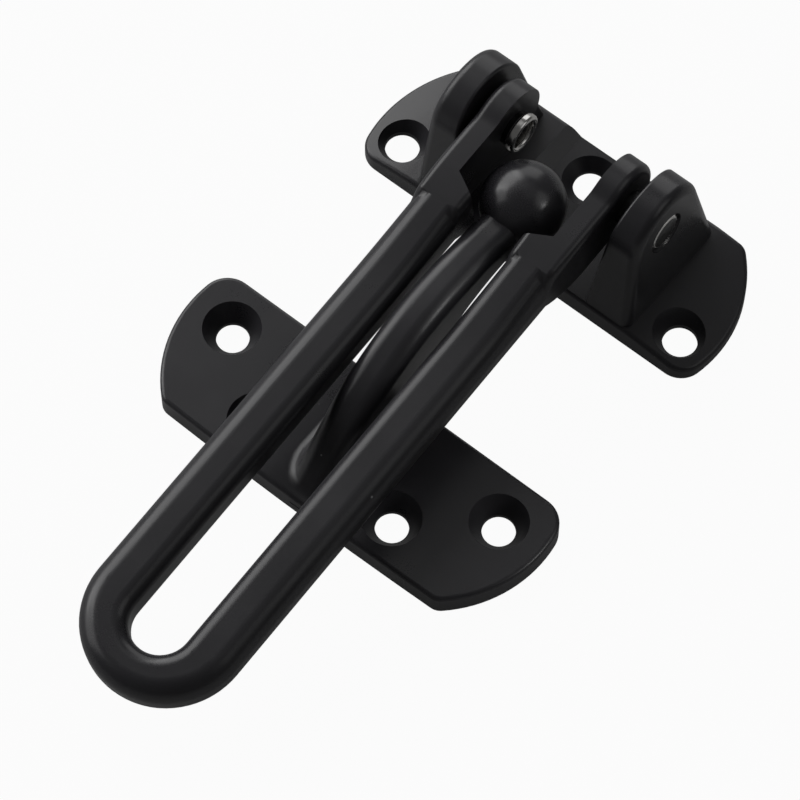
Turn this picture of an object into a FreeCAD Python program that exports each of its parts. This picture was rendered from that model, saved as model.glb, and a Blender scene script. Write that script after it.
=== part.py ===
"""Swing bar door guard: hinged loop bar on a two-eared base, and the ball strike it closes over.

Millimetres. X runs along the hinge axis, the bar lies toward -Y at rest, and +Z stands out
of the mounting surface. The origin is on the back of the base, straight under the hinge axis.
"""
import FreeCAD, Part
import math
import os
import re

import Sketcher

doc = FreeCAD.newDocument("SwingBarDoorGuard")
sheet = doc.addObject("Spreadsheet::Sheet", "Sizes")

SIZES = [
    # base casting: plate
    ("flange_long", 12.2, "ear to the end of the base plate"),
    ("base_near", 9.84, "hinge axis to the near edge of the base"),
    ("base_far", 14.0, "hinge axis to the far edge of the base"),
    ("base_thick", 4.1, "thickness of the base plate"),
    ("base_end_radius", 21.5, "radius of the curved ends of the base"),
    ("base_end_drop", 2.0, "widest point of the ends, toward the near edge"),
    ("base_near_corner", 4.0, "radius of the near corners"),
    ("base_far_corner", 2.5, "radius of the far corners"),
    ("base_rim", 0.8, "rounding of the upper edge of the plate"),
    ("flange_drop", 2.0, "fall of the flange top from the ear to the end"),
    ("flange_sweep", 86.0, "radius of the falling flange top"),
    ("floor_thick", 2.5, "thickness of the sunk floor between the ears"),
    ("pad_long", 4.05, "length of the pads beside the ears"),
    ("floor_bank", 2.65, "width of the slope up to the pads"),
    # base casting: ears
    ("hinge_high", 20.8, "height of the hinge axis"),
    ("ear_radius", 7.7, "radius of the ear top about the hinge axis, near side"),
    ("ear_far_radius", 8.7, "radius of the ear top on the far side"),
    ("ear_play", 1.19, "gap between the eye and the ear, each side"),
    ("ear_wide", 8.15, "width of an ear at the plate"),
    ("ear_inner_draft", 5.1, "draft of the inner ear faces, degrees"),
    ("ear_outer_draft", 3.0, "draft of the outer ear faces, degrees"),
    ("ear_outer_round", 1.6, "rounding of the outer ear edges"),
    ("ear_inner_round", 0.5, "rounding of the inner ear edges"),
    # base casting: screw holes
    ("base_hole_in", 5.7, "end of the base to the end screw holes"),
    ("base_hole_near", 4.4, "hinge axis to the line of the end holes"),
    ("base_hole_far", 8.6, "hinge axis to the centre hole"),
    ("base_hole", 5.5, "screw hole in the base"),
    ("base_sink", 9.2, "countersink of the base"),
    ("base_sink_angle", 62.0, "angle of the end countersinks"),
    ("centre_sink_angle", 90.0, "angle of the centre countersink"),
    # hinge pins
    ("pin_shank", 5.6, "diameter of the pin shank"),
    ("pin_head", 7.0, "diameter of the pin head"),
    ("pin_head_thick", 1.1, "thickness of the pin head"),
    ("pin_head_edge", 0.3, "chamfer of the head"),
    ("pin_inset", 0.15, "head face below the ear face"),
    ("pin_lip", 6.8, "diameter of the flared lip"),
    ("pin_bore", 4.7, "bore of the hollow end"),
    ("pin_bore_deep", 8.0, "depth of the hollow end"),
    ("pin_stand", 2.5, "length of the left pin beyond the eye"),
    ("pin_end", 0.2, "length of the right pin beyond the eye"),
    ("pin_flare", 1.2, "length of the flare"),
    ("pin_fit", 0.03, "radial clearance of the pin in the ear"),
    ("eye_fit", 0.06, "radial clearance of the pin in the eye"),
    ("lip_gap", 0.15, "gap between the lip and the eye"),
    # swing bar
    ("bar_side", -0.5, "side shift of the bar along the hinge axis"),
    ("bar_tilt", 5.5, "dip of the bar at rest, degrees"),
    ("bar_half", 12.95, "half width of the bar"),
    ("bar_long", 105.7, "hinge axis to the end of the loop"),
    ("leg_thick", 7.7, "height of the leg section"),
    ("leg_wide", 8.15, "width of the leg section"),
    ("loop_wide", 6.9, "width of the loop at its end"),
    ("leg_outer_round", 3.2, "rounding of the outer leg edges"),
    ("leg_inner_round", 2.5, "rounding of the inner leg edges"),
    ("arm_wide", 4.0, "width of the arms"),
    ("arm_half", 5.95, "half height of the arms"),
    ("arm_end", 10.0, "hinge axis to where the arm starts to fall"),
    ("arm_toe", 20.0, "hinge axis to where the arm has sunk into the leg"),
    ("arm_toe_half", 2.4, "half height of the arm where it ends"),
    ("arm_round", 1.3, "rounding of the outer arm edges"),
    ("arm_tail_round", 1.2, "rounding of the inner edges past the notch"),
    ("eye_radius", 6.8, "radius of the hinge eyes"),
    ("eye_blend", 4.0, "radius of the hollow curve from arm to eye"),
    ("notch_start", 12.6, "hinge axis to the start of the notch"),
    ("notch_long", 2.2, "length of the slanting notch face"),
    # ball strike
    ("strike_side", -0.72, "side shift of the strike in the closed guard"),
    ("strike_reach", 39.4, "hinge axis to the far edge of the strike plate"),
    ("strike_half", 34.1, "half length of the strike plate at its widest"),
    ("strike_deep", 23.8, "depth of the strike plate"),
    ("strike_thick", 4.1, "thickness of the strike plate"),
    ("strike_end_radius", 21.5, "radius of the curved ends of the strike"),
    ("strike_end_drop", 7.0, "far edge to the widest point of the ends"),
    ("strike_bow", 0.4, "bow of the near edge"),
    ("strike_far_corner", 4.5, "radius of the far corners"),
    ("strike_near_corner", 2.5, "radius of the near corners"),
    ("strike_rim", 0.7, "rounding of the upper edge of the strike"),
    ("strike_hole_in", 8.14, "end of the strike to the far holes"),
    ("strike_hole_step", 12.86, "far holes to the near holes, along the plate"),
    ("strike_hole_far", 7.44, "far edge to the far holes"),
    ("strike_hole_near", 17.03, "far edge to the near holes"),
    ("strike_hole", 5.2, "screw hole in the strike"),
    ("strike_sink", 9.2, "countersink of the strike"),
    ("strike_sink_angle", 62.0, "angle of the strike countersinks"),
    # neck and ball
    ("ball_radius", 6.76, "radius of the ball"),
    ("ball_back", 8.4, "hinge axis to the ball centre"),
    ("ball_high", 18.4, "height of the ball centre"),
    ("neck_high", 22.9, "height of the neck's crest"),
    ("neck_rise", 3.4, "crest above the neck's top at the ball"),
    ("neck_turn", 34.5, "radius of the neck's upper curve"),
    ("neck_slope", 46, "slope of the neck's foot, degrees"),
    ("neck_toe", 61.3, "hinge axis to where the neck meets the plate"),
    ("neck_under", 14.4, "height of the neck's underside at the ball"),
    ("neck_under_long", 22.4, "far edge of the plate to where the underside starts to fall"),
    ("neck_half", 3.4, "half width of the neck"),
    ("neck_round", 2.6, "rounding of the neck's upper edges"),
    ("neck_under_round", 2.5, "rounding of the neck's lower edges"),
    ("neck_flare", 2.2, "hollow rounding between neck and plate"),
]

for row, (alias, number, note) in enumerate(SIZES, start=1):
    sheet.set("A%d" % row, note)
    sheet.set("B%d" % row, "%g" % number)
    sheet.setAlias("B%d" % row, alias)
doc.recompute()

EAR_INNER = "(bar_half + ear_play - (hinge_high - base_thick) * tan(ear_inner_draft))"
EAR_OUTER = "(%s + ear_wide)" % EAR_INNER
BASE_HALF = "(%s + flange_long)" % EAR_OUTER
SLOT_HALF = "(bar_half - leg_wide)"
SLOT_END = "(bar_long - loop_wide)"
ARM_INNER = "(bar_half - arm_wide)"
FACE_AT_HINGE = "(%s - (hinge_high - base_thick) * tan(ear_outer_draft))" % EAR_OUTER
HEAD_FACE = "(%s - pin_inset)" % FACE_AT_HINGE
HEAD_BACK = "(%s - pin_head_thick)" % HEAD_FACE

ALIASES = {alias for alias, number, note in SIZES}
WORD = re.compile(r"[A-Za-z_]+")


def bound(text):
    """The formula with each size written as a cell of the sheet."""
    return WORD.sub(lambda m: "Sizes." + m.group() if m.group() in ALIASES else m.group(), text)


def value(text):
    """The present value of a formula in the sheet's sizes."""
    return float(sheet.evalExpression(text))


def tie(thing, prop, text):
    """Sets a property to a formula in the sheet's sizes."""
    thing.setExpression(prop, bound(text))


def new_body(label):
    body = doc.addObject("PartDesign::Body", label)
    body.Label = label
    return body


def plane_of(body, role):
    """One of the body's own origin planes."""
    return next(f for f in body.Origin.OriginFeatures if f.Role == role)


def new_sketch(body, name, role, offset=None):
    """A sketch on an origin plane, lifted off it by a formula where one is given."""
    sketch = body.newObject("Sketcher::SketchObject", name)
    sketch.AttachmentSupport = (plane_of(body, role), [""])
    sketch.MapMode = "FlatFace"
    if offset:
        tie(sketch, "AttachmentOffset.Base.z", offset)
    return sketch


def pin_point(sketch, geo, pos, at):
    """Holds a point of the sketch at two formulas measured from its origin."""
    for kind, text in zip(("DistanceX", "DistanceY"), at):
        index = sketch.addConstraint(Sketcher.Constraint(kind, -1, 1, geo, pos, value(text)))
        tie(sketch, "Constraints[%d]" % index, text)


def outline(sketch, corners, arcs=None):
    """A closed outline through the corners; arcs gives some sides a radius and a direction.

    A side with direction 1 bulges to the right of the way along it, with -1 to the left.
    """
    arcs = arcs or {}
    spots = [FreeCAD.Vector(value(x), value(y), 0) for x, y in corners]
    count = len(spots)
    first = sketch.GeometryCount
    for i, start in enumerate(spots):
        end = spots[(i + 1) % count]
        if i not in arcs:
            sketch.addGeometry(Part.LineSegment(start, end), False)
            continue
        text, side = arcs[i]
        along = end - start
        across = FreeCAD.Vector(along.y, -along.x, 0).normalize() * side
        radius = value(text)
        sagitta = radius - math.sqrt(max(radius ** 2 - (along.Length / 2) ** 2, 0))
        middle = (start + end) * 0.5 + across * sagitta
        ends = (start, middle, end) if side > 0 else (end, middle, start)
        sketch.addGeometry(Part.Arc(*ends), False)
    for i in range(count):
        after = (i + 1) % count
        begin = 2 if i in arcs and arcs[i][1] < 0 else 1
        follow = 2 if after in arcs and arcs[after][1] < 0 else 1
        sketch.addConstraint(
            Sketcher.Constraint("Coincident", first + i, 3 - begin, first + after, follow))
    for i in range(count):
        begin = 2 if i in arcs and arcs[i][1] < 0 else 1
        pin_point(sketch, first + i, begin, corners[i])
        if i in arcs:
            index = sketch.addConstraint(
                Sketcher.Constraint("Radius", first + i, value(arcs[i][0])))
            tie(sketch, "Constraints[%d]" % index, arcs[i][0])


def circle(sketch, centre, radius):
    """A circle held at a centre and a radius given as formulas."""
    middle = FreeCAD.Vector(value(centre[0]), value(centre[1]), 0)
    geo = sketch.addGeometry(Part.Circle(middle, FreeCAD.Vector(0, 0, 1), value(radius)), False)
    pin_point(sketch, geo, 3, centre)
    index = sketch.addConstraint(Sketcher.Constraint("Radius", geo, value(radius)))
    tie(sketch, "Constraints[%d]" % index, radius)


def pad(body, name, sketch, length, both=False):
    """A solid raised from a sketch, to both sides where asked."""
    feature = body.newObject("PartDesign::Pad", name)
    feature.Profile = sketch
    tie(feature, "Length", length)
    feature.Midplane = both
    doc.recompute()
    return feature


def pocket(body, name, sketch):
    """A cut right through the body, to both sides of the sketch."""
    before = body.Shape.Volume
    feature = body.newObject("PartDesign::Pocket", name)
    feature.Profile = sketch
    feature.Type = "ThroughAll"
    feature.Midplane = True
    doc.recompute()
    if not body.Shape.Volume < before:
        raise RuntimeError(name + " cuts nothing")
    return feature


def rounded(body, name, radius, wanted):
    """Rounds the edges of the body that a test picks."""
    edges = ["Edge%d" % (i + 1) for i, edge in enumerate(body.Shape.Edges) if wanted(edge)]
    if not edges:
        raise RuntimeError(name + " finds no edge")
    base = body.Tip
    feature = body.newObject("PartDesign::Fillet", name)
    feature.Base = (base, edges)
    tie(feature, "Radius", radius)
    doc.recompute()
    if "Invalid" in feature.State:
        raise RuntimeError(name + " fails")
    return feature


def sunk_holes(body, name, sketch, bore, sink, angle):
    """Countersunk screw holes through the body at the circles of a sketch."""
    before = body.Shape.Volume
    feature = body.newObject("PartDesign::Hole", name)
    feature.Profile = sketch
    doc.recompute()
    feature.DepthType = "ThroughAll"
    tie(feature, "Diameter", bore)
    feature.HoleCutType = "Countersink"
    feature.HoleCutCustomValues = True
    tie(feature, "HoleCutDiameter", sink)
    tie(feature, "HoleCutCountersinkAngle", angle)
    doc.recompute()
    if not body.Shape.Volume < before:
        raise RuntimeError(name + " cuts nothing")
    return feature


def middle_of(edge):
    return edge.valueAt((edge.FirstParameter + edge.LastParameter) / 2)


def upright(edge):
    """Whether an edge is a straight line along Z."""
    ends = [v.Point for v in edge.Vertexes]
    if len(ends) != 2 or not isinstance(edge.Curve, Part.Line):
        return False
    return abs(ends[0].x - ends[1].x) < 1e-6 and abs(ends[0].y - ends[1].y) < 1e-6


def level_at(edge, high):
    """Whether a whole edge lies at one height."""
    return all(abs(v.Point.z - high) < 1e-6 for v in edge.Vertexes) and abs(
        middle_of(edge).z - high) < 1e-6


def build_ears():
    """The two ears, on the block that joins them inside the plate."""
    body = new_body("ear_pair")

    def tangent(foot, radius, sign):
        middle = "(hinge_high + ear_radius - %s)" % radius
        reach = "sqrt(%s^2 + %s^2)" % (foot, middle)
        turn = "acos(%s / %s) - atan(%s / %s)" % (radius, reach, middle, foot)
        return ("%s%s * cos(%s)" % (sign, radius, turn),
                "%s + %s * sin(%s)" % (middle, radius, turn))

    profile = new_sketch(body, "EarProfile", "YZ_Plane")
    outline(profile, [
        ("-base_near", "0"),
        tangent("base_near", "ear_radius", "-"),
        ("0", "hinge_high + ear_radius"),
        tangent("base_far", "ear_far_radius", ""),
        ("base_far", "0"),
    ], {1: ("ear_radius", -1), 2: ("ear_far_radius", -1)})
    widest = "(%s + base_thick * tan(ear_outer_draft))" % EAR_OUTER
    pad(body, "EarBlock", profile, "2 * " + widest, both=True)

    # the gap between the ears, and the draft of their outer faces
    top = "(hinge_high + ear_radius + 1)"
    rise = "(hinge_high + ear_radius + 1 - base_thick)"
    front = new_sketch(body, "EarDraft", "XZ_Plane")
    inner_top = "(%s + %s * tan(ear_inner_draft))" % (EAR_INNER, rise)
    outline(front, [
        ("-" + EAR_INNER, "base_thick"),
        (EAR_INNER, "base_thick"),
        (inner_top, top),
        ("-" + inner_top, top),
    ])
    outer_top = "(%s - %s * tan(ear_outer_draft))" % (EAR_OUTER, rise)
    beyond = "(%s + 2)" % EAR_OUTER
    for side in ("", "-"):
        outline(front, [
            (side + widest, "0"),
            (side + beyond, "0"),
            (side + beyond, top),
            (side + outer_top, top),
        ])
    pocket(body, "EarGap", front)

    # ear edges: the outer ones well rounded, the inner ones broken
    foot = value("base_thick")
    inner = value(EAR_INNER)
    outer = value(EAR_OUTER)
    lean_in = math.tan(math.radians(value("ear_inner_draft")))
    lean_out = math.tan(math.radians(value("ear_outer_draft")))

    def on_ear(edge, place):
        spots = [v.Point for v in edge.Vertexes] + [middle_of(edge)]
        if max(p.z for p in spots) < foot + 1 or edge.Length < 4:
            return False
        return all(abs(abs(p.x) - place(p.z - foot)) < 1e-4 for p in spots)

    rounded(body, "EarOuterEdges", "ear_outer_round",
            lambda e: on_ear(e, lambda up: outer - up * lean_out))
    rounded(body, "EarInnerEdges", "ear_inner_round",
            lambda e: on_ear(e, lambda up: inner + up * lean_in))
    return body


def build_base():
    """Flanged plate with curved ends, a sunk floor, two drafted ears and three screw holes."""
    ears = build_ears()
    body = new_body("door_base")
    near_half = (BASE_HALF + " - base_end_radius"
                 " + sqrt(base_end_radius^2 - (base_near - base_end_drop)^2)")
    far_half = (BASE_HALF + " - base_end_radius"
                " + sqrt(base_end_radius^2 - (base_far + base_end_drop)^2)")
    plan = new_sketch(body, "BasePlan", "XY_Plane")
    outline(plan, [
        ("-(%s)" % near_half, "-base_near"),
        (near_half, "-base_near"),
        (far_half, "base_far"),
        ("-(%s)" % far_half, "base_far"),
    ], {1: ("base_end_radius", 1), 3: ("base_end_radius", 1)})
    pad(body, "BasePlate", plan, "base_thick")

    # flange tops that fall away from the ears in a shallow curve
    crown = new_sketch(body, "FlangeCrown", "XZ_Plane")
    past = "(%s + base_rim)" % BASE_HALF
    for side in ("", "-"):
        outline(crown, [
            (side + EAR_OUTER, "base_thick"),
            (side + past, "base_thick - flange_drop"),
            (side + past, "base_thick + base_rim"),
            (side + EAR_OUTER, "base_thick + base_rim"),
        ], {0: ("flange_sweep", -1 if side == "" else 1)})
    pocket(body, "FlangeFall", crown)
    rounded(body, "NearCorners", "base_near_corner",
            lambda e: upright(e) and e.CenterOfMass.y < 0)
    rounded(body, "FarCorners", "base_far_corner",
            lambda e: upright(e) and e.CenterOfMass.y > value("base_far") - 0.01)
    lowest = value("base_thick - flange_drop") - 0.01

    def top_rim(edge):
        box = edge.BoundBox
        across = box.YLength > 0.5 * value("base_near + base_far") and box.XLength < 0.01
        return box.ZMin > lowest and not across

    rounded(body, "PlateRim", "base_rim", top_rim)

    joined = body.newObject("PartDesign::Boolean", "EarsOnPlate")
    joined.Type = "Fuse"
    joined.setObjects([ears])
    doc.recompute()

    # the sunk floor between the pads
    channel = new_sketch(body, "FloorProfile", "XZ_Plane")
    bank = "(%s - pad_long)" % EAR_INNER
    floor = "(%s - floor_bank)" % bank
    outline(channel, [
        ("-" + floor, "floor_thick"),
        (floor, "floor_thick"),
        (bank, "base_thick"),
        (bank, "base_thick + 1"),
        ("-" + bank, "base_thick + 1"),
        ("-" + bank, "base_thick"),
    ])
    pocket(body, "SunkFloor", channel)

    # pin bores, and a seat for each pin head in the outer face
    bores = new_sketch(body, "PinBores", "YZ_Plane")
    circle(bores, ("0", "hinge_high"), "pin_shank / 2 + pin_fit")
    pocket(body, "PinHoles", bores)
    for name, side in (("Right", 1), ("Left", -1)):
        seat = new_sketch(body, name + "Seat", "YZ_Plane",
                          ("" if side > 0 else "-") + "(%s)" % HEAD_BACK)
        circle(seat, ("0", "hinge_high"), "pin_head / 2 + pin_fit")
        before = body.Shape.Volume
        cut = body.newObject("PartDesign::Pocket", name + "SeatCut")
        cut.Profile = seat
        tie(cut, "Length", EAR_OUTER)
        cut.Reversed = side > 0
        doc.recompute()
        if not 5 < before - body.Shape.Volume < 200:
            raise RuntimeError("the pin seat is wrong")

    # screw holes: two at the ends, one in the sunk floor
    ends = new_sketch(body, "EndHoleSpots", "XY_Plane", "base_thick")
    for side in ("", "-"):
        circle(ends, (side + "(%s - base_hole_in)" % BASE_HALF, "-base_hole_near"), "base_hole / 2")
    sunk_holes(body, "EndHoles", ends, "base_hole", "base_sink", "base_sink_angle")
    centre = new_sketch(body, "CentreHoleSpot", "XY_Plane", "floor_thick")
    circle(centre, ("0", "base_hole_far"), "base_hole / 2")
    sunk_holes(body, "CentreHole", centre, "base_hole", "base_sink", "centre_sink_angle")
    return body


def build_pin(label, side):
    """Headed pin with a hollow inner end, flared over the eye on the left; side is +1 or -1."""
    body = new_body(label)
    eye_face = "(%s - %s %s bar_side)" % (HEAD_FACE, ARM_INNER, "-" if side > 0 else "+")
    length = "(%s + %s)" % (eye_face, "pin_end" if side > 0 else "pin_stand")
    end = "pin_shank" if side > 0 else "pin_lip"
    wall = "((%s - pin_bore) / 4)" % end
    flare = [] if side > 0 else [
        ("%s + lip_gap" % eye_face, "pin_shank / 2"),
        ("%s + lip_gap + pin_flare" % eye_face, "pin_lip / 2"),
    ]
    rim = 5 + len(flare)
    profile = new_sketch(body, label + "_profile", "XY_Plane")
    outline(profile, [
        ("0", "0"),
        ("0", "pin_head / 2 - pin_head_edge"),
        ("pin_head_edge", "pin_head / 2"),
        ("pin_head_thick", "pin_head / 2"),
        ("pin_head_thick", "pin_shank / 2"),
    ] + flare + [
        ("%s - %s" % (length, wall), end + " / 2"),
        (length, "pin_bore / 2 + %s" % wall),
        ("%s - %s" % (length, wall), "pin_bore / 2"),
        ("%s - pin_bore_deep" % length, "pin_bore / 2"),
        ("%s - pin_bore_deep - pin_bore / 4" % length, "0"),
    ], {rim: (wall, -1), rim + 1: (wall, -1)})
    turned = body.newObject("PartDesign::Revolution", label + "_turned")
    turned.Profile = profile
    turned.ReferenceAxis = (profile, ["H_Axis"])
    turned.Angle = 360
    doc.recompute()
    body.Placement = FreeCAD.Placement(
        FreeCAD.Vector(0, 0, 0), FreeCAD.Rotation(FreeCAD.Vector(0, 0, 1), 180 if side > 0 else 0))
    tie(body, "Placement.Base.x", ("" if side > 0 else "-") + HEAD_FACE)
    tie(body, "Placement.Base.z", "hinge_high")
    return body


def build_arms():
    """The two arms with their eyes, thinner and taller than the legs they run into."""
    body = new_body("arm_pair")
    side = new_sketch(body, "ArmProfile", "YZ_Plane")
    neck_y = "sqrt((eye_radius + eye_blend)^2 - (arm_half + eye_blend)^2)"
    share = "eye_radius / (eye_radius + eye_blend)"
    join_y = "-(%s * %s)" % (neck_y, share)
    join_z = "((arm_half + eye_blend) * %s)" % share
    run = "(arm_toe - arm_end)"
    fall = "(arm_half - arm_toe_half)"
    sweep = "((%s^2 + %s^2) / (2 * %s))" % (run, fall, fall)
    outline(side, [
        ("-%s" % neck_y, "-arm_half"),
        (join_y, "-%s" % join_z),
        ("eye_radius", "0"),
        (join_y, join_z),
        ("-%s" % neck_y, "arm_half"),
        ("-arm_end", "arm_half"),
        ("-arm_toe", "arm_toe_half"),
        ("-arm_toe", "-arm_toe_half"),
        ("-arm_end", "-arm_half"),
    ], {0: ("eye_blend", -1), 1: ("eye_radius", 1), 2: ("eye_radius", 1), 3: ("eye_blend", -1),
        5: (sweep, 1), 7: (sweep, 1)})
    pad(body, "Arms", side, "2 * bar_half", both=True)
    gap = new_sketch(body, "ArmGap", "XY_Plane")
    outline(gap, [
        ("-" + SLOT_HALF, "-(arm_toe + 1)"),
        (SLOT_HALF, "-(arm_toe + 1)"),
        (SLOT_HALF, "-(notch_start + notch_long)"),
        (ARM_INNER, "-notch_start"),
        (ARM_INNER, "eye_radius + 1"),
        ("-" + ARM_INNER, "eye_radius + 1"),
        ("-" + ARM_INNER, "-notch_start"),
        ("-" + SLOT_HALF, "-(notch_start + notch_long)"),
    ])
    pocket(body, "ArmSlot", gap)

    # long arm edges above and below
    def on_face(edge, far_x, back):
        spots = [v.Point for v in edge.Vertexes] + [middle_of(edge)]
        if any(abs(abs(p.x) - far_x) > 1e-4 for p in spots) or max(p.y for p in spots) < back:
            return False
        return edge.Length > 2 and abs(middle_of(edge).z) > 0.1

    rounded(body, "ArmOuterEdges", "arm_round",
            lambda e: on_face(e, value("bar_half"), -99))
    rounded(body, "ArmTailEdges", "arm_tail_round",
            lambda e: on_face(e, value(SLOT_HALF), -99))
    return body


def build_bar():
    """Loop bar: two rounded legs, thinner and taller arms beside the hinge, and round eyes."""
    arms = build_arms()
    body = new_body("swing_bar")
    turn = "(bar_long - bar_half)"
    slot_turn = "-(%s - %s)" % (SLOT_END, SLOT_HALF)
    plan = new_sketch(body, "LoopPlan", "XY_Plane")
    outline(plan, [
        ("-bar_half", "-notch_start"),
        ("-bar_half", "-" + turn),
        ("0", "-bar_long"),
        ("bar_half", "-" + turn),
        ("bar_half", "-notch_start"),
        (ARM_INNER, "-notch_start"),
        (SLOT_HALF, "-(notch_start + notch_long)"),
        (SLOT_HALF, slot_turn),
        ("0", "-" + SLOT_END),
        ("-" + SLOT_HALF, slot_turn),
        ("-" + SLOT_HALF, "-(notch_start + notch_long)"),
        ("-" + ARM_INNER, "-notch_start"),
    ], {1: ("bar_half", 1), 2: ("bar_half", 1), 7: (SLOT_HALF, -1), 8: (SLOT_HALF, -1)})
    pad(body, "Loop", plan, "leg_thick", both=True)

    # the long edges of the loop, outer and inner, above and below
    half = value("leg_thick / 2")
    wide = value("bar_half")
    narrow = value(SLOT_HALF)
    start = -value("notch_start + notch_long")

    def long_edge(edge, limit_low, limit_high):
        box = edge.BoundBox
        if abs(abs(middle_of(edge).z) - half) > 1e-6 or box.ZLength > 1e-6:
            return False
        spread = max(abs(box.XMin), abs(box.XMax))
        return limit_low < spread < limit_high and box.YLength > 2 and box.YMin < start - 1

    rounded(body, "OuterLegEdges", "leg_outer_round",
            lambda e: long_edge(e, wide - 0.01, wide + 0.01))
    rounded(body, "InnerLegEdges", "leg_inner_round",
            lambda e: long_edge(e, narrow - 0.01, narrow + 0.01))

    joined = body.newObject("PartDesign::Boolean", "ArmsOnLoop")
    joined.Type = "Fuse"
    joined.setObjects([arms])
    doc.recompute()
    bore = new_sketch(body, "EyeBore", "YZ_Plane")
    circle(bore, ("0", "0"), "pin_shank / 2 + eye_fit")
    pocket(body, "EyeHoles", bore)

    body.Placement = FreeCAD.Placement(
        FreeCAD.Vector(0, 0, 0), FreeCAD.Rotation(FreeCAD.Vector(1, 0, 0), value("bar_tilt")))
    tie(body, "Placement.Rotation.Angle", "bar_tilt")
    tie(body, "Placement.Base.x", "bar_side")
    tie(body, "Placement.Base.z", "hinge_high")
    return body


def build_neck():
    """Arched neck with rounded long edges, and the ball at its end."""
    body = new_body("neck_and_ball")

    # side view: a low arch from the ball, then a straight slope into the plate
    bend_y = "(neck_turn * sin(neck_slope))"
    bend_z = "(neck_turn * (1 - cos(neck_slope)))"
    toe = "(neck_toe - strike_reach)"
    lean = "((neck_high - strike_thick - %s) / tan(neck_slope))" % bend_z
    knee = "(%s - %s)" % (toe, lean)
    brow = "(%s - %s)" % (knee, bend_y)
    root = "(strike_thick / 2)"
    sink = "((strike_thick - %s) / tan(neck_slope))" % root
    ball_y = "(strike_reach - ball_back)"
    crown = "(((%s + %s)^2 + neck_rise^2) / (2 * neck_rise))" % (ball_y, brow)
    fall = "(neck_under - %s)" % root
    under = "((neck_under_long^2 + %s^2) / (2 * %s))" % (fall, fall)
    side = new_sketch(body, "NeckProfile", "YZ_Plane")
    outline(side, [
        (ball_y, "neck_high - neck_rise"),
        ("-%s" % brow, "neck_high"),
        ("-%s" % knee, "neck_high - %s" % bend_z),
        ("-(%s + %s)" % (toe, sink), root),
        ("0", root),
        ("neck_under_long", "neck_under"),
        (ball_y, "neck_under"),
    ], {0: (crown, 1), 1: ("neck_turn", 1), 4: (under, -1)})
    pad(body, "NeckWeb", side, "2 * neck_half", both=True)

    def long_edge(edge, above):
        spots = [v.Point for v in edge.Vertexes] + [middle_of(edge)]
        if upright(edge) or any(abs(abs(p.x) - value("neck_half")) > 1e-4 for p in spots):
            return False
        crest = middle_of(edge).z > value("neck_under") + 1 or middle_of(edge).y < -1
        return crest == above and middle_of(edge).z > value("strike_thick")

    # both roundings shrink alike where the web is lower than their sum
    web = "(neck_high - neck_rise - neck_under)"
    share = "min(1; %s / (neck_round + neck_under_round))" % web
    rounded(body, "NeckCrestEdges", "neck_round * " + share, lambda e: long_edge(e, True))
    rounded(body, "NeckUnderEdges", "neck_under_round * " + share, lambda e: long_edge(e, False))
    ball = body.newObject("PartDesign::AdditiveSphere", "Ball")
    tie(ball, "Radius", "ball_radius")
    tie(ball, "Placement.Base.y", ball_y)
    tie(ball, "Placement.Base.z", "ball_high")
    doc.recompute()
    return body


def build_strike():
    """Strike: bowed plate with four screw holes, an arched neck and a ball."""
    neck = build_neck()
    body = new_body("ball_strike")

    # plate with curved ends and a slightly bowed near edge
    near_half = ("strike_half - strike_end_radius"
                 " + sqrt(strike_end_radius^2 - (strike_deep - strike_bow - strike_end_drop)^2)")
    far_half = ("strike_half - strike_end_radius"
                " + sqrt(strike_end_radius^2 - strike_end_drop^2)")
    plan = new_sketch(body, "StrikePlan", "XY_Plane")
    bow = "((%s)^2 + strike_bow^2) / (2 * strike_bow)" % near_half
    outline(plan, [
        ("-(%s)" % near_half, "-(strike_deep - strike_bow)"),
        (near_half, "-(strike_deep - strike_bow)"),
        (far_half, "0"),
        ("-(%s)" % far_half, "0"),
    ], {0: (bow, 1), 1: ("strike_end_radius", 1), 3: ("strike_end_radius", 1)})
    pad(body, "StrikePlate", plan, "strike_thick")
    rounded(body, "StrikeFarCorners", "strike_far_corner",
            lambda e: upright(e) and abs(e.CenterOfMass.y) < 0.01)
    rounded(body, "StrikeNearCorners", "strike_near_corner",
            lambda e: upright(e) and abs(
                e.CenterOfMass.y + value("strike_deep - strike_bow")) < 0.01)
    rounded(body, "StrikeRim", "strike_rim", lambda e: level_at(e, value("strike_thick")))

    joined = body.newObject("PartDesign::Boolean", "NeckOnPlate")
    joined.Type = "Fuse"
    joined.setObjects([neck])
    doc.recompute()
    rounded(body, "NeckFlare", "neck_flare",
            lambda e: level_at(e, value("strike_thick"))
            and abs(middle_of(e).x) < value("neck_half") + 0.1)

    holes = new_sketch(body, "StrikeHoleSpots", "XY_Plane", "strike_thick")
    for sign in ("", "-"):
        far = "(strike_half - strike_hole_in)"
        circle(holes, (sign + far, "-strike_hole_far"), "strike_hole / 2")
        near = "(%s - strike_hole_step)" % far
        circle(holes, (sign + near, "-strike_hole_near"), "strike_hole / 2")
    sunk_holes(body, "StrikeHoles", holes, "strike_hole", "strike_sink", "strike_sink_angle")
    tie(body, "Placement.Base.x", "strike_side")
    tie(body, "Placement.Base.y", "-strike_reach")
    return body


bodies = [build_base(), build_pin("hinge_pin_right", 1), build_pin("hinge_pin_left", -1),
          build_bar(), build_strike()]
doc.recompute()

for thing in doc.Objects:
    if "Invalid" in thing.State or "Error" in thing.State:
        raise RuntimeError("%s did not build" % thing.Name)
for body in bodies:
    if body.Shape.isNull() or not body.Shape.isValid() or len(body.Shape.Solids) != 1:
        raise RuntimeError("%s is not one sound solid" % body.Label)

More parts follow.
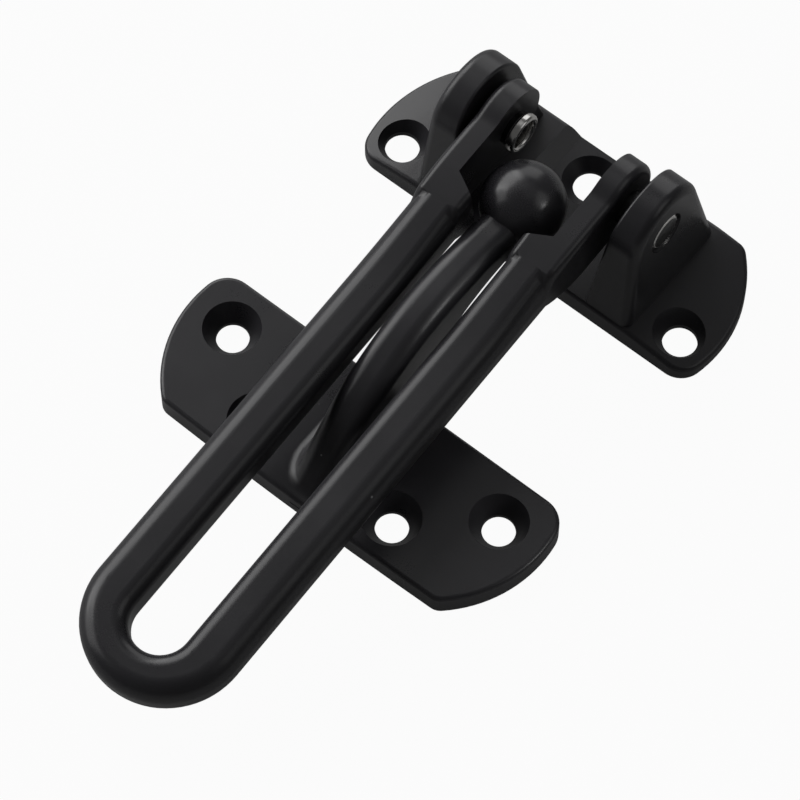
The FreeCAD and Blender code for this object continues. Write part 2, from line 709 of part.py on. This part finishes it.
os.makedirs("parts", exist_ok=True)
for body in bodies:
    body.Shape.exportStep("parts/%s.step" % body.Label)
    box = body.Shape.BoundBox
    print("%-16s volume %9.1f mm3, box x %.2f..%.2f y %.2f..%.2f z %.2f..%.2f" % (
        body.Label, body.Shape.Volume, box.XMin, box.XMax, box.YMin, box.YMax, box.ZMin, box.ZMax))
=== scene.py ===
"""Swing bar door guard in satin black paint, with steel hinge pins.

The castings are finished from the measured solids, the pins are turned anew, and a stage with a
pale floor, soft lamps and a camera stands round them. Everything is in metres, with X along the
hinge axis, the bar toward -Y and Z out of the mounting surface.
"""

import math

import bmesh
import bpy
from bpy.props import FloatProperty, FloatVectorProperty, IntProperty, PointerProperty
from mathutils import Matrix, Vector


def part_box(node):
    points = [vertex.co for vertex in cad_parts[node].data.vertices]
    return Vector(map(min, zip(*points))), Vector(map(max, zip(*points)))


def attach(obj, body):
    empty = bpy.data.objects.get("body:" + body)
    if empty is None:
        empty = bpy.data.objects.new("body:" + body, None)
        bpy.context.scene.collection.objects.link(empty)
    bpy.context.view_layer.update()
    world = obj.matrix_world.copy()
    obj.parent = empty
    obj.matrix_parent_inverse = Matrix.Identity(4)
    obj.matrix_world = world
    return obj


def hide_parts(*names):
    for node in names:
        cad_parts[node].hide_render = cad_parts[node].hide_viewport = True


bl_info = {
    "name": "Swing Bar Door Guard",
    "version": (1, 0, 0),
    "blender": (4, 5, 0),
    "location": "3D View > Sidebar > Door Guard",
    "description": "Finishes a painted swing bar door guard and its stage",
    "category": "Object",
}

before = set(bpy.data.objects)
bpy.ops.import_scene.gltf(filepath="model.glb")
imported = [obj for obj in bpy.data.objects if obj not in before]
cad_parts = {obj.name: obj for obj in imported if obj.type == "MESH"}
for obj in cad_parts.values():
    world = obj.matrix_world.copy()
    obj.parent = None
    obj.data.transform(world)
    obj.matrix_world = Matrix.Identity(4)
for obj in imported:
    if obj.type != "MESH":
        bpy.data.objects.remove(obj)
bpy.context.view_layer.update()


# Sizes and colours

class PaintSettings(bpy.types.PropertyGroup):
    """The satin black paint on the castings."""

    colour: FloatVectorProperty(
        name="Paint Colour", description="Colour of the paint", subtype="COLOR",
        default=(0.0211, 0.0205, 0.0232), min=0.0, max=1.0)
    worn_colour: FloatVectorProperty(
        name="Rubbed Colour", description="Colour of the paint where it is thin or rubbed",
        subtype="COLOR", default=(0.0302, 0.0294, 0.0328), min=0.0, max=1.0)
    dust_colour: FloatVectorProperty(
        name="Dust Colour", description="Colour of the dust specks", subtype="COLOR",
        default=(0.30, 0.30, 0.31), min=0.0, max=1.0)
    roughness: FloatProperty(
        name="Paint Roughness", description="How dull the paint is", default=0.31,
        min=0.0, max=1.0, subtype="FACTOR")
    peel_size: FloatProperty(
        name="Peel Size", description="Width of the soft waves in the paint", default=0.0026,
        min=0.0005, max=0.02, unit="LENGTH")
    grain_size: FloatProperty(
        name="Grain Size", description="Width of the fine grain of the paint", default=0.00022,
        min=0.00005, max=0.002, unit="LENGTH")
    dust_spacing: FloatProperty(
        name="Dust Spacing", description="Distance between dust specks", default=0.0047,
        min=0.0005, max=0.05, unit="LENGTH")
    crease: FloatProperty(
        name="Crease Angle", description="Edges sharper than this stay crisp",
        default=math.radians(24), min=0.0, max=math.pi, subtype="ANGLE")


class BarSettings(bpy.types.PropertyGroup):
    """How the arms of the swing bar run out into its legs."""

    hinge_height: FloatProperty(
        name="Hinge Height", description="Height of the hinge axis", default=0.0208,
        min=0.001, max=0.1, unit="LENGTH")
    tilt: FloatProperty(
        name="Bar Tilt", description="Dip of the bar at rest", default=math.radians(5.5),
        subtype="ANGLE")
    arm_height: FloatProperty(
        name="Arm Height", description="Half height of the arms", default=0.00595,
        min=0.001, max=0.02, unit="LENGTH")
    leg_height: FloatProperty(
        name="Leg Height", description="Half height of the legs", default=0.00385,
        min=0.001, max=0.02, unit="LENGTH")
    arm_end: FloatProperty(
        name="Arm End", description="From the hinge axis to where the arms start to fall",
        default=0.010, min=0.0, max=0.1, unit="LENGTH")
    toe: FloatProperty(
        name="Arm Toe", description="From the hinge axis to where the arms have sunk in",
        default=0.020, min=0.0, max=0.1, unit="LENGTH")
    toe_height: FloatProperty(
        name="Toe Height", description="Half height of the arms at their toe", default=0.0024,
        min=0.0, max=0.02, unit="LENGTH")
    run_out: FloatProperty(
        name="Run Out", description="From the hinge axis to where the arm tops have run out",
        default=0.034, min=0.01, max=0.1, unit="LENGTH")
    slices: IntProperty(
        name="Slices", description="Cross cuts along the run-out", default=18, min=4, max=60)
    soft_crease: FloatProperty(
        name="Soft Crease", description="Edges of the run-out below this angle are shaded smooth",
        default=math.radians(48), subtype="ANGLE")


class PinSettings(bpy.types.PropertyGroup):
    """The two steel hinge pins."""

    colour: FloatVectorProperty(
        name="Steel Colour", description="Colour of the bright steel", subtype="COLOR",
        default=(0.70, 0.69, 0.67), min=0.0, max=1.0)
    blackened: FloatVectorProperty(
        name="Blackened Colour", description="Colour of the blackened shank and head",
        subtype="COLOR", default=(0.006, 0.006, 0.006), min=0.0, max=1.0)
    axis_height: FloatProperty(
        name="Axis Height", description="Height of the hinge axis", default=0.0208,
        min=0.001, max=0.1, unit="LENGTH")
    roughness: FloatProperty(
        name="Steel Roughness", description="How dull the steel is", default=0.20,
        min=0.0, max=1.0, subtype="FACTOR")
    head_diameter: FloatProperty(
        name="Head Diameter", description="Width of the pin head", default=0.0070,
        min=0.001, max=0.02, unit="LENGTH")
    head_thickness: FloatProperty(
        name="Head Thickness", description="Thickness of the pin head", default=0.0011,
        min=0.0002, max=0.01, unit="LENGTH")
    shank_diameter: FloatProperty(
        name="Shank Diameter", description="Width of the pin's shank", default=0.0056,
        min=0.001, max=0.02, unit="LENGTH")
    lip_diameter: FloatProperty(
        name="Lip Diameter", description="Width of the flared lip", default=0.0068,
        min=0.001, max=0.02, unit="LENGTH")
    bore_diameter: FloatProperty(
        name="Bore Diameter", description="Width of the hollow end", default=0.0047,
        min=0.0005, max=0.02, unit="LENGTH")
    bore_depth: FloatProperty(
        name="Bore Depth", description="Depth of the hollow end", default=0.0080,
        min=0.0005, max=0.02, unit="LENGTH")
    stand: FloatProperty(
        name="Lip Stand", description="How far the flared pin stands out past the eye and its gap",
        default=0.00235, min=0.0001, max=0.01, unit="LENGTH")
    flare: FloatProperty(
        name="Flare Length", description="Length over which the lip widens", default=0.0012,
        min=0.0001, max=0.01, unit="LENGTH")
    steps: IntProperty(
        name="Turning Steps", description="Steps of the lathe round a pin", default=96,
        min=12, max=256)


class StageSettings(bpy.types.PropertyGroup):
    """Floor, lamps and camera."""

    floor_colour: FloatVectorProperty(
        name="Floor Colour", description="Colour of the pale floor", subtype="COLOR",
        default=(0.36, 0.36, 0.36), min=0.0, max=1.0)
    backdrop_glow: FloatProperty(
        name="Backdrop Glow", description="Share of plain white in the floor as the camera sees it",
        default=0.96, min=0.0, max=1.0, subtype="FACTOR")
    mirrored_glow: FloatProperty(
        name="Mirrored Glow", description="Share of plain white in the floor as mirrors show it",
        default=0.06, min=0.0, max=1.0, subtype="FACTOR")
    floor_size: FloatProperty(
        name="Floor Size", description="Width of the floor", default=6.0,
        min=0.5, max=50.0, unit="LENGTH")
    lamp_distance: FloatProperty(
        name="Lamp Distance", description="From the lamps to the point the camera looks at",
        default=1.15, min=0.2, max=10.0, unit="LENGTH")
    light_level: FloatProperty(
        name="Light Level", description="Strength of all lamps together", default=1.0,
        min=0.0, max=20.0)
    room_light: FloatProperty(
        name="Room Light", description="Brightness of the room round the object", default=0.08,
        min=0.0, max=2.0)
    azimuth: FloatProperty(
        name="Camera Azimuth", description="Turn of the camera round the object",
        default=math.radians(38.72), subtype="ANGLE")
    elevation: FloatProperty(
        name="Camera Elevation", description="Height of the camera above the horizon",
        default=math.radians(63.91), subtype="ANGLE")
    distance: FloatProperty(
        name="Camera Distance", description="From the camera to the point it looks at",
        default=0.61069, min=0.05, max=20.0, unit="LENGTH")
    aim: FloatVectorProperty(
        name="Camera Aim", description="The point the camera looks at", subtype="TRANSLATION",
        unit="LENGTH", default=(-0.00022, -0.03877, 0.0))
    lens: FloatProperty(
        name="Lens", description="Focal length in millimetres", default=180.0,
        min=10.0, max=1000.0)


# Name, bearing from +X and height in degrees, width and height in metres, watts
LAMPS = (
    ("key_lamp", 165, 33, (1.1, 0.9), 7.6),
    ("key_lamp_far", 120, 22, (1.0, 0.8), 2.6),
    ("key_lamp_near", 205, 26, (0.8, 0.9), 2.8),
    ("top_lamp", 150, 62, (0.8, 0.6), 0.40),
    ("overhead_lamp", 60, 72, (0.8, 0.7), 0.25),
    ("side_lamp", 27, 41, (0.7, 0.6), 0.75),
    ("ball_lamp", 17, 26, (0.24, 0.24), 1.30),
    ("rim_lamp", 21, 16, (0.30, 0.30), 4.0),
    ("ball_gleam", 195, 17, (0.26, 0.26), 0.50),
)

# Lamps that light only certain pieces, and those pieces
LIT_BY = {"ball_lamp": ("strike_casting",), "rim_lamp": ("right_pin",)}

# Noise: its middle value, and the range over which patches change the roughness
NOISE_MIDDLE = 0.5
PATCH_RANGE = (0.3, 0.7)

# Paint: width of its patches, heights of its waves, grain and dust, and strength of this relief
PAINT_PATCH = 0.018
WAVE_HEIGHT = 0.00002
GRAIN_HEIGHT = 0.000003
DUST_HEIGHT = 0.00002
PAINT_RELIEF = 0.55

# Paint: how far patches, grain and dust change its roughness
PAINT_PATCH_DULL = 0.05
PAINT_GRAIN_DULL = 0.05
DUST_DULL = 0.25

# Paint: the noise range over which rubbing sets in, and the most of it
RUB_RANGE = (0.52, 0.74)
MOST_RUBBED = 0.55

# Dust: width of a cluster, the noise range over which clusters set in, and a speck's soft edge;
# width and edge in spacings
DUST_CLUSTER = 2.4
DUST_RANGE = (0.55, 0.60)
SPECK_EDGE = (0.05, 0.035)

# Steel: widths of its patches and grain, height of the grain, and strength of this relief
STEEL_PATCH = 0.0016
STEEL_GRAIN = 0.00012
STEEL_GRAIN_HEIGHT = 0.000008
STEEL_RELIEF = 0.3

# Steel: brightness of its dark patches, and the noise range over which they set in
STEEL_TINT = 0.72
TINT_RANGE = (0.45, 0.75)

# Steel: how far patches, grain and blackening change its roughness
STEEL_PATCH_DULL = (-0.04, 0.08)
STEEL_GRAIN_DULL = 0.08
BLACKENED_DULL = 0.12

# Where the bright lip starts and ends along X, and the bright heads on either side
LIP_START = (-0.0086, -0.0084)
LIP_END = (0.0, -0.001)
HEADS_START = (0.0188, 0.0189)

# Width of the bright rim of a pin head, and of its soft inner edge
BRIGHT_RIM = 0.0009
RIM_FADE = 0.0002

# Depth below the head's face and distance in from its edge, along the rounded rim of a pin head
HEAD_RIM = ((0.0, 0.0009), (0.00012, 0.00065), (0.0003, 0.0004), (0.0005, 0.00018), (0.0008, 0.0))

# Shares of the flare's length and widening at its knee, and degrees between points round the lip
FLARE_KNEE = (0.6, 0.25)
LIP_STEP_ANGLE = 20

# Edges of a pin sharper than this stay crisp
PIN_CREASE = math.radians(40)

# Points this close are one: in a casting, in the bar's cross cuts and in a pin
MERGE_DISTANCE = 2e-6
SLICE_DISTANCE = 1e-6
PIN_MERGE_DISTANCE = 1e-7

# Neighbouring faces of a casting within this angle are one
FLAT_ANGLE = math.radians(0.4)

# Floor: how far it lies below the mounting surface, width of its patches, and how light they get
FLOOR_DROP = 0.0002
FLOOR_PATCH = 0.4
FLOOR_TINT = 1.03


# Shader nodes written as expressions

class Wire:
    """One output of a shader node; arithmetic on it adds Math nodes."""

    def __init__(self, kit, socket):
        self.kit = kit
        self.socket = socket

    def _maths(self, operation, *terms):
        return self.kit.node("ShaderNodeMath", {"operation": operation}, dict(enumerate(terms)))

    def __add__(self, other):
        return self._maths("ADD", self, other)

    def __radd__(self, other):
        return self._maths("ADD", other, self)

    def __sub__(self, other):
        return self._maths("SUBTRACT", self, other)

    def __rsub__(self, other):
        return self._maths("SUBTRACT", other, self)

    def __mul__(self, other):
        return self._maths("MULTIPLY", self, other)

    def __rmul__(self, other):
        return self._maths("MULTIPLY", other, self)

    def __pow__(self, other):
        return self._maths("POWER", self, other)


class Shades:
    """A material's node tree, and the one method that adds any node to it."""

    def __init__(self, name):
        self.material = bpy.data.materials.new(name)
        self.material.use_nodes = True
        self.tree = self.material.node_tree
        self.tree.nodes.clear()
        self.place = Wire(self, self.tree.nodes.new("ShaderNodeTexCoord").outputs["Object"])

    def node(self, kind, settings=None, sockets=None, output=0):
        """Adds a node, applies its settings, then fills its sockets with values or wires."""
        made = self.tree.nodes.new(kind)
        for key, setting in (settings or {}).items():
            setattr(made, key, setting)
        for key, filling in (sockets or {}).items():
            socket = made.inputs[key]
            if isinstance(filling, Wire):
                self.tree.links.new(filling.socket, socket)
            else:
                socket.default_value = filling
        return Wire(self, made.outputs[output]) if made.outputs else None

    def noise(self, width, detail=2.0, roughness=0.5):
        """Noise whose features are about width metres wide."""
        return self.node("ShaderNodeTexNoise", {"noise_dimensions": "3D"}, {
            "Vector": self.place, "Scale": 1.0 / width, "Detail": detail,
            "Roughness": roughness})

    def between(self, value, low, high, out_low=0.0, out_high=1.0):
        """A value carried from one range to another, held inside the new one."""
        return self.node("ShaderNodeMapRange", {"clamp": True}, {
            "Value": value, "From Min": low, "From Max": high,
            "To Min": out_low, "To Max": out_high})

    def blend(self, factor, first, second):
        """Two colours mixed."""
        return self.node("ShaderNodeMix", {"data_type": "RGBA"}, {
            "Factor": factor, 6: first, 7: second}, output=2)

    def finish(self, shader):
        """Puts the shader on the surface and gives the material."""
        self.node("ShaderNodeOutputMaterial", None, {"Surface": shader})
        return self.material


def opaque(colour):
    """A colour with full alpha."""
    return (*colour, 1.0)


def satin_paint(paint):
    """Satin black paint: soft waves, fine grain, rubbed patches and a few dust specks."""
    kit = Shades("satin_black_paint")
    cloudy = kit.noise(PAINT_PATCH, detail=3.0)
    waves = kit.noise(paint.peel_size)
    grain = kit.noise(paint.grain_size, roughness=0.6)
    rubbed = kit.between(cloudy, *RUB_RANGE, 0.0, MOST_RUBBED)

    specks = kit.node("ShaderNodeTexVoronoi", {"feature": "F1"}, {
        "Vector": kit.place, "Scale": 1.0 / paint.dust_spacing, "Randomness": 1.0})
    clusters = kit.noise(paint.dust_spacing * DUST_CLUSTER, detail=1.0)
    picked = kit.between(clusters, *DUST_RANGE)
    dust = kit.between(specks, *SPECK_EDGE) * picked

    tone = kit.blend(rubbed, opaque(paint.colour), opaque(paint.worn_colour))
    colour = kit.blend(dust, tone, opaque(paint.dust_colour))
    dull = kit.between(cloudy, *PATCH_RANGE, paint.roughness - PAINT_PATCH_DULL,
                       paint.roughness + PAINT_PATCH_DULL)
    dull = dull + (grain - NOISE_MIDDLE) * PAINT_GRAIN_DULL + dust * DUST_DULL

    height = waves * WAVE_HEIGHT + grain * GRAIN_HEIGHT + dust * DUST_HEIGHT
    bump = kit.node("ShaderNodeBump", None, {
        "Strength": PAINT_RELIEF, "Distance": 1.0, "Height": height})
    shader = kit.node("ShaderNodeBsdfPrincipled", None, {
        "Base Color": colour, "Roughness": dull, "Normal": bump, "IOR": 1.5,
        "Specular IOR Level": 0.5})
    return kit.finish(shader)


def bright_steel(steel):
    """Turned steel, bright on the rolled lip and the head's rim and blackened elsewhere."""
    kit = Shades("bright_pin_steel")
    along = kit.node("ShaderNodeSeparateXYZ", None, {"Vector": kit.place})
    across, upward = (Wire(kit, along.socket.node.outputs[axis]) for axis in (1, 2))
    above = upward - steel.axis_height
    out = (across * across + above * above) ** 0.5
    lip = kit.between(along, *LIP_START) * kit.between(along, *LIP_END)
    rim_inner = steel.head_diameter / 2 - BRIGHT_RIM
    head = kit.between(along * along, HEADS_START[0] ** 2, HEADS_START[1] ** 2) \
        * kit.between(out, rim_inner, rim_inner + RIM_FADE)
    bright = kit.between(lip + head, 0.0, 1.0)
    cloudy = kit.noise(STEEL_PATCH, detail=3.0)
    fine = kit.noise(STEEL_GRAIN, roughness=0.6)
    tone = kit.blend(kit.between(cloudy, *TINT_RANGE), opaque(steel.colour),
                     opaque([STEEL_TINT * c for c in steel.colour]))
    dull = kit.between(cloudy, *PATCH_RANGE,
                       *(steel.roughness + change for change in STEEL_PATCH_DULL))
    dull = dull + (fine - NOISE_MIDDLE) * STEEL_GRAIN_DULL
    bump = kit.node("ShaderNodeBump", None, {
        "Strength": STEEL_RELIEF, "Distance": 1.0, "Height": fine * STEEL_GRAIN_HEIGHT})
    shader = kit.node("ShaderNodeBsdfPrincipled", None, {
        "Base Color": kit.blend(bright, opaque(steel.blackened), tone),
        "Roughness": dull + (1.0 - bright) * BLACKENED_DULL, "Metallic": bright,
        "Normal": bump})
    return kit.finish(shader)


# Meshes

def material_of(name, maker, settings):
    """The named material, made when it is first asked for."""
    return bpy.data.materials.get(name) or maker(settings)


def show(bm, name, material, body, nodes):
    """Makes an object of a bmesh, in place of the nodes, riding on a body."""
    mesh = bpy.data.meshes.new(name)
    bm.to_mesh(mesh)
    bm.free()
    mesh.materials.append(material)
    piece = bpy.data.objects.new(name, mesh)
    bpy.context.scene.collection.objects.link(piece)
    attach(piece, body)
    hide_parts(*nodes)
    return piece


def run_out_arms(bm, bar):
    """Lets the tops of the arms fall gently into the legs, where the solid drops short."""
    along = Vector((0.0, -math.cos(bar.tilt), -math.sin(bar.tilt)))
    upward = Vector((0.0, -math.sin(bar.tilt), math.cos(bar.tilt)))
    hinge = Vector((0.0, 0.0, bar.hinge_height))
    fall = bar.arm_height - bar.toe_height
    run = bar.toe - bar.arm_end
    sweep = (run * run + fall * fall) / (2.0 * fall)
    length = bar.run_out - bar.arm_end
    for step in range(bar.slices + 1):
        bmesh.ops.bisect_plane(
            bm, geom=bm.verts[:] + bm.edges[:] + bm.faces[:], dist=SLICE_DISTANCE, plane_no=along,
            plane_co=hinge + (bar.arm_end + length * step / bar.slices) * along)
    bmesh.ops.remove_doubles(bm, verts=bm.verts, dist=SLICE_DISTANCE)
    for vert in bm.verts:
        far = (vert.co - hinge).dot(along) - bar.arm_end
        high = (vert.co - hinge).dot(upward)
        if high <= 0.0 or not 0.0 < far < length:
            continue
        sunk = sweep - math.sqrt(max(0.0, sweep * sweep - min(far, run) ** 2))
        solid_top = max(bar.arm_height - sunk, bar.leg_height)
        share = far / length
        wanted_top = bar.arm_height - (bar.arm_height - bar.leg_height) * share * share * (
            3.0 - 2.0 * share)
        vert.co += (wanted_top / solid_top - 1.0) * high * upward
    for edge in bm.edges:
        middle = 0.5 * (edge.verts[0].co + edge.verts[1].co) - hinge
        if 0.0 < middle.dot(along) - bar.arm_end < length and middle.dot(upward) > 0.0:
            edge.smooth = edge.calc_face_angle(0.0) < bar.soft_crease


def finished_casting(node, name, body, scene):
    """A smooth-shaded copy of a casting's solid in satin paint."""
    paint = scene.guard_paint
    bm = bmesh.new()
    bm.from_mesh(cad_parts[node].data)
    bmesh.ops.remove_doubles(bm, verts=bm.verts, dist=MERGE_DISTANCE)
    bmesh.ops.dissolve_limit(bm, angle_limit=FLAT_ANGLE, verts=bm.verts, edges=bm.edges)
    for face in bm.faces:
        face.smooth = True
    for edge in bm.edges:
        edge.smooth = edge.calc_face_angle(0.0) < paint.crease
    if name == "loop_bar":
        run_out_arms(bm, scene.guard_bar)
    piece = show(bm, name, material_of("satin_black_paint", satin_paint, paint), body,
                 [node])
    weigh = piece.modifiers.new("FaceWeights", "WEIGHTED_NORMAL")
    weigh.keep_sharp = True
    return piece


def turned_pin(node, name, flared, scene):
    """A pin turned on the lathe: flat head, shank and a hollow end with a rolled rim."""
    steel = scene.guard_pins
    low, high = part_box(node)
    way = -1.0 if high.x > 0 else 1.0
    head_face = high.x if way < 0 else low.x
    length = high.x - low.x
    centre = 0.5 * (low + high)
    head = steel.head_diameter / 2
    shank = steel.shank_diameter / 2
    lip = (steel.lip_diameter if flared else steel.shank_diameter) / 2
    bore = steel.bore_diameter / 2
    wall = (lip - bore) / 2
    rim = [(length - wall + wall * math.sin(t), bore + wall + wall * math.cos(t))
           for t in (math.radians(a) for a in range(0, 181, LIP_STEP_ANGLE))]
    line = [(0.0, 0.0)] + [(depth, head - inward) for depth, inward in HEAD_RIM]
    line += [(steel.head_thickness, head), (steel.head_thickness, shank)]
    if flared:
        start = length - steel.stand
        knee_length, knee_widening = FLARE_KNEE
        line += [(start, shank),
                 (start + knee_length * steel.flare, shank + knee_widening * (lip - shank)),
                 (start + steel.flare, lip)]
    line += rim
    line += [(length - steel.bore_depth, bore),
             (length - steel.bore_depth - bore / 2, 0.0)]

    bm = bmesh.new()
    made = [bm.verts.new((head_face + way * along, centre.y, centre.z + out))
            for along, out in line]
    edges = [bm.edges.new(pair) for pair in zip(made, made[1:])]
    bmesh.ops.spin(bm, geom=made + edges, cent=centre, axis=(1, 0, 0), angle=2 * math.pi,
                   steps=steel.steps, use_merge=True)
    bmesh.ops.remove_doubles(bm, verts=bm.verts, dist=PIN_MERGE_DISTANCE)
    bmesh.ops.recalc_face_normals(bm, faces=bm.faces)
    for face in bm.faces:
        face.smooth = True
    for ring in bm.edges:
        ring.smooth = ring.calc_face_angle(0.0) < PIN_CREASE
    return show(bm, name, material_of("bright_pin_steel", bright_steel, steel), "base_body",
                [node])


# Operators

class GUARD_OT_base(bpy.types.Operator):
    """Finishes the base casting in satin paint"""
    bl_idname = "guard.base"
    bl_label = "Base Casting"

    def execute(self, context):
        finished_casting("door_base", "base_casting", "base_body", context.scene)
        return {"FINISHED"}


class GUARD_OT_bar(bpy.types.Operator):
    """Finishes the swing bar in satin paint"""
    bl_idname = "guard.bar"
    bl_label = "Swing Bar"

    def execute(self, context):
        finished_casting("swing_bar", "loop_bar", "bar_body", context.scene)
        return {"FINISHED"}


class GUARD_OT_strike(bpy.types.Operator):
    """Finishes the ball strike in satin paint"""
    bl_idname = "guard.strike"
    bl_label = "Ball Strike"

    def execute(self, context):
        finished_casting("ball_strike", "strike_casting", "base_body", context.scene)
        return {"FINISHED"}


class GUARD_OT_pins(bpy.types.Operator):
    """Turns the two steel hinge pins"""
    bl_idname = "guard.pins"
    bl_label = "Hinge Pins"

    def execute(self, context):
        turned_pin("hinge_pin_right", "right_pin", False, context.scene)
        turned_pin("hinge_pin_left", "left_pin", True, context.scene)
        return {"FINISHED"}


def soft_lamp(name, place, aim, size, power):
    """A rectangular lamp that looks at a point."""
    lamp = bpy.data.lights.new(name, "AREA")
    lamp.shape = "RECTANGLE"
    lamp.size, lamp.size_y = size
    lamp.energy = power
    held = bpy.data.objects.new(name, lamp)
    held.location = place
    held.rotation_euler = (Vector(aim) - Vector(place)).to_track_quat("-Z", "Y").to_euler()
    held.visible_camera = False
    bpy.context.scene.collection.objects.link(held)
    return held


class GUARD_OT_stage(bpy.types.Operator):
    """Sets the floor, the lamps, the room and the camera"""
    bl_idname = "guard.stage"
    bl_label = "Stage"

    def execute(self, context):
        scene = context.scene
        stage = scene.guard_stage
        aim = Vector(stage.aim)

        kit = Shades("pale_floor")
        light_path = kit.tree.nodes.new("ShaderNodeLightPath").outputs
        mirrored = Wire(kit, light_path["Is Glossy Ray"]) \
            + Wire(kit, light_path["Is Transmission Ray"])
        share = stage.backdrop_glow * Wire(kit, light_path["Is Camera Ray"]) \
            + stage.mirrored_glow * mirrored
        mottle = kit.noise(FLOOR_PATCH, detail=3.0)
        shade = kit.blend(mottle, opaque(stage.floor_colour),
                          opaque([min(1.0, FLOOR_TINT * c) for c in stage.floor_colour]))
        cloth = kit.node("ShaderNodeBsdfPrincipled", None, {
            "Base Color": shade, "Roughness": 0.9, "Specular IOR Level": 0.1})
        glow = kit.node("ShaderNodeEmission", None, {"Color": (1, 1, 1, 1), "Strength": 1.0})
        floor_look = kit.finish(
            kit.node("ShaderNodeMixShader", None, {0: share, 1: cloth, 2: glow}))
        bm = bmesh.new()
        bmesh.ops.create_grid(bm, x_segments=4, y_segments=4, size=stage.floor_size / 2)
        mesh = bpy.data.meshes.new("pale_floor")
        bm.to_mesh(mesh)
        bm.free()
        mesh.materials.append(floor_look)
        floor = bpy.data.objects.new("pale_floor", mesh)
        scene.collection.objects.link(floor)
        mesh.transform(Matrix.Translation((0, 0, -FLOOR_DROP)))

        for name, turn, rise, size, power in LAMPS:
            flat = math.cos(math.radians(rise))
            way = Vector((math.cos(math.radians(turn)) * flat, math.sin(math.radians(turn)) * flat,
                          math.sin(math.radians(rise))))
            lamp = soft_lamp(name, aim + stage.lamp_distance * way, aim, size,
                             stage.light_level * power)
            if name in LIT_BY:
                lit = bpy.data.collections.new(name + "_lit")
                for piece in LIT_BY[name]:
                    lit.objects.link(bpy.data.objects[piece])
                lamp.light_linking.receiver_collection = lit

        world = bpy.data.worlds.new("studio_room")
        world.use_nodes = True
        tree = world.node_tree
        tree.nodes["Background"].inputs["Color"].default_value = (1, 1, 1, 1)
        tree.nodes["Background"].inputs["Strength"].default_value = stage.room_light
        scene.world = world

        camera_data = bpy.data.cameras.new("photo_camera")
        camera_data.sensor_width = 36.0
        camera_data.sensor_fit = "HORIZONTAL"
        camera_data.lens = stage.lens
        camera_data.clip_start = 0.01
        camera_data.clip_end = 20.0
        camera = bpy.data.objects.new("photo_camera", camera_data)
        flat = math.cos(stage.elevation)
        toward = Vector((math.sin(stage.azimuth) * flat, -math.cos(stage.azimuth) * flat,
                         math.sin(stage.elevation)))
        camera.location = aim + stage.distance * toward
        camera.rotation_euler = (-toward).to_track_quat("-Z", "Y").to_euler()
        scene.collection.objects.link(camera)
        scene.camera = camera
        scene.view_settings.view_transform = "Standard"
        return {"FINISHED"}


class VIEW3D_PT_guard(bpy.types.Panel):
    """The door guard's pieces, sizes and colours"""
    bl_idname = "VIEW3D_PT_guard"
    bl_label = "Door Guard"
    bl_space_type = "VIEW_3D"
    bl_region_type = "UI"
    bl_category = "Door Guard"

    def draw(self, context):
        layout = self.layout
        for title, holder, steps in (
                ("Castings", context.scene.guard_paint,
                 ("guard.base", "guard.bar", "guard.strike")),
                ("Arms", context.scene.guard_bar, ()),
                ("Pins", context.scene.guard_pins, ("guard.pins",)),
                ("Stage", context.scene.guard_stage, ("guard.stage",))):
            box = layout.box()
            box.label(text=title)
            for name in holder.__annotations__:
                box.prop(holder, name)
            for step in steps:
                box.operator(step)


CLASSES = (
    PaintSettings, BarSettings, PinSettings, StageSettings,
    GUARD_OT_base, GUARD_OT_bar, GUARD_OT_strike, GUARD_OT_pins, GUARD_OT_stage,
    VIEW3D_PT_guard,
)


def register():
    """Adds the classes, and the settings to the scene."""
    for cls in CLASSES:
        bpy.utils.register_class(cls)
    bpy.types.Scene.guard_paint = PointerProperty(type=PaintSettings)
    bpy.types.Scene.guard_bar = PointerProperty(type=BarSettings)
    bpy.types.Scene.guard_pins = PointerProperty(type=PinSettings)
    bpy.types.Scene.guard_stage = PointerProperty(type=StageSettings)


def unregister():
    """Takes the settings and classes away again."""
    del bpy.types.Scene.guard_stage
    del bpy.types.Scene.guard_pins
    del bpy.types.Scene.guard_bar
    del bpy.types.Scene.guard_paint
    for cls in reversed(CLASSES):
        bpy.utils.unregister_class(cls)


def main():
    """Makes every piece and the stage."""
    register()
    bpy.ops.guard.base()
    bpy.ops.guard.bar()
    bpy.ops.guard.strike()
    bpy.ops.guard.pins()
    bpy.ops.guard.stage()


if __name__ == "__main__":
    main()
